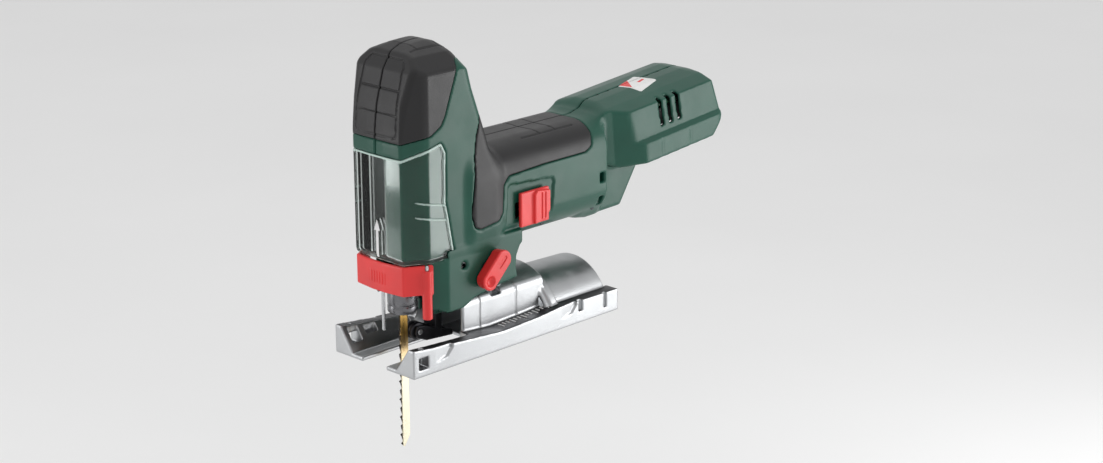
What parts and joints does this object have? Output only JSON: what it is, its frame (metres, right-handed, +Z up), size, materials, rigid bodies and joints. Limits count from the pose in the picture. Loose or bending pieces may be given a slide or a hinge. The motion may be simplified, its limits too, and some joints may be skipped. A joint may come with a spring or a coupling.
{
  "type": "jigsaw",
  "caption": "Cordless barrel-grip jigsaw with split moulded body, tilting cast base plate, reciprocating blade with roller guide, lever blade clamp and slide-on battery mount.",
  "frame": {"origin": "on the underside of the base plate, on the centre line, 75 mm behind the line of the blade's teeth", "axes": "+X from the blade to the battery end, -Y the tool's left side, +Z up"},
  "size_m": [0.3103, 0.0804, 0.2805],
  "materials": {
    "shell": "satin moulded dark green",
    "soft_grip": "matte overmoulded grip",
    "controls": "satin red",
    "clear_guard": "clear moulded polycarbonate",
    "cast_metal": "bright die casting",
    "bright_steel": "ground steel",
    "dark_steel": "blackened steel",
    "blade_coating": "gold-tone coated tool steel",
    "copper": "copper winding",
    "black_plastic": "matte black moulding",
    "circuit_board": "solder mask",
    "bronze": "sintered bronze"
  },
  "bodies": {
    "base": {"base_plate": "cast_metal", "base_clamp_screw": "dark_steel"},
    "housing": {"housing_left": "shell", "housing_right": "shell", "head_cap_left": "soft_grip", "head_cap_right": "soft_grip", "handle_grip_left": "soft_grip", "handle_grip_right": "soft_grip", "chip_guard": "clear_guard", "tilt_saddle": "cast_metal", "lever_pin": "bright_steel", "switch_module": "black_plastic", "motor_can": "bright_steel", "brush_holder": "black_plastic", "carbon_brush_left": "black_plastic", "carbon_brush_right": "black_plastic", "motor_front_bearing": "bright_steel", "motor_rear_bearing": "bright_steel", "gear_bearing": "bright_steel", "gearbox_frame": "cast_metal", "plunger_bush_upper": "bronze", "plunger_bush_lower": "bronze", "fork_pin": "bright_steel", "touch_guard": "bright_steel", "terminal_block": "black_plastic", "control_board": "circuit_board", "housing_screw_1": "dark_steel", "housing_screw_2": "dark_steel", "housing_screw_3": "dark_steel", "housing_screw_4": "dark_steel", "housing_screw_5": "dark_steel", "housing_screw_6": "dark_steel", "housing_screw_7": "dark_steel", "housing_screw_8": "dark_steel"},
    "rotor": {"armature": "copper", "commutator": "copper", "cooling_fan": "black_plastic", "motor_pinion": "bright_steel"},
    "gear": {"drive_gear": "bright_steel", "gear_shaft": "bright_steel", "crank_pin": "bright_steel"},
    "balance": {"counterweight": "bright_steel"},
    "plunger": {"plunger_rod": "bright_steel", "plunger_yoke": "bright_steel", "blade_clamp": "bright_steel", "blade": "blade_coating"},
    "sleeve": {"clamp_sleeve": "dark_steel"},
    "lever": {"release_lever": "controls"},
    "selector": {"orbit_selector": "controls", "orbit_shaft": "bright_steel"},
    "switch": {"switch_slider": "controls", "switch_rod": "black_plastic"},
    "fork": {"roller_fork": "dark_steel", "roller_pin": "bright_steel"},
    "roller": {"guide_roller": "dark_steel"}
  },
  "joints": [
    {"name": "base_tilt", "type": "hinge", "parent": "base", "child": "housing", "pos_m": [0, 0, 0], "axis": [1, 0, 0], "range_deg": [-45, 45]},
    {"name": "gear_spin", "type": "hinge", "parent": "housing", "child": "gear", "pos_m": [-0.044, 0, 0.128], "axis": [1, 0, 0], "continuous": true},
    {"name": "motor_spin", "type": "hinge", "parent": "housing", "child": "rotor", "pos_m": [-0.044, 0, 0.101], "axis": [1, 0, 0], "continuous": true},
    {"name": "plunger_slide", "type": "slide", "parent": "housing", "child": "plunger", "axis": [0, 0, 1], "range_m": [-0.009, 0.009]},
    {"name": "counterweight_slide", "type": "slide", "parent": "housing", "child": "balance", "axis": [0, 0, 1], "range_m": [-0.009, 0.009]},
    {"name": "clamp_turn", "type": "hinge", "parent": "plunger", "child": "sleeve", "pos_m": [-0.071, 0, 0.04], "axis": [0, 0, 1], "range_deg": [0, 30]},
    {"name": "lever_swing", "type": "hinge", "parent": "housing", "child": "lever", "pos_m": [-0.0755, -0.0298, 0.06], "axis": [0, 0, 1], "range_deg": [0, 60], "stiffness_Nm_per_rad": 0.12},
    {"name": "orbit_turn", "type": "hinge", "parent": "housing", "child": "selector", "pos_m": [-0.022, -0.032, 0.058], "axis": [0, 1, 0], "range_deg": [-30, 60]},
    {"name": "switch_slide", "type": "slide", "parent": "housing", "child": "switch", "axis": [1, 0, 0], "range_m": [-0.008, 0]},
    {"name": "fork_swing", "type": "hinge", "parent": "housing", "child": "fork", "pos_m": [-0.044, 0, 0.03], "axis": [0, 1, 0], "range_deg": [-4, 0]},
    {"name": "roller_spin", "type": "hinge", "parent": "fork", "child": "roller", "pos_m": [-0.0605, 0, 0.016], "axis": [0, 1, 0], "continuous": true}
  ],
  "couplings": [
    {"joint": "motor_spin", "follows": "gear_spin", "ratio": -5},
    {"joint": "counterweight_slide", "follows": "plunger_slide", "ratio": -1},
    {"joint": "clamp_turn", "follows": "lever_swing", "ratio": 0.5}
  ]
}
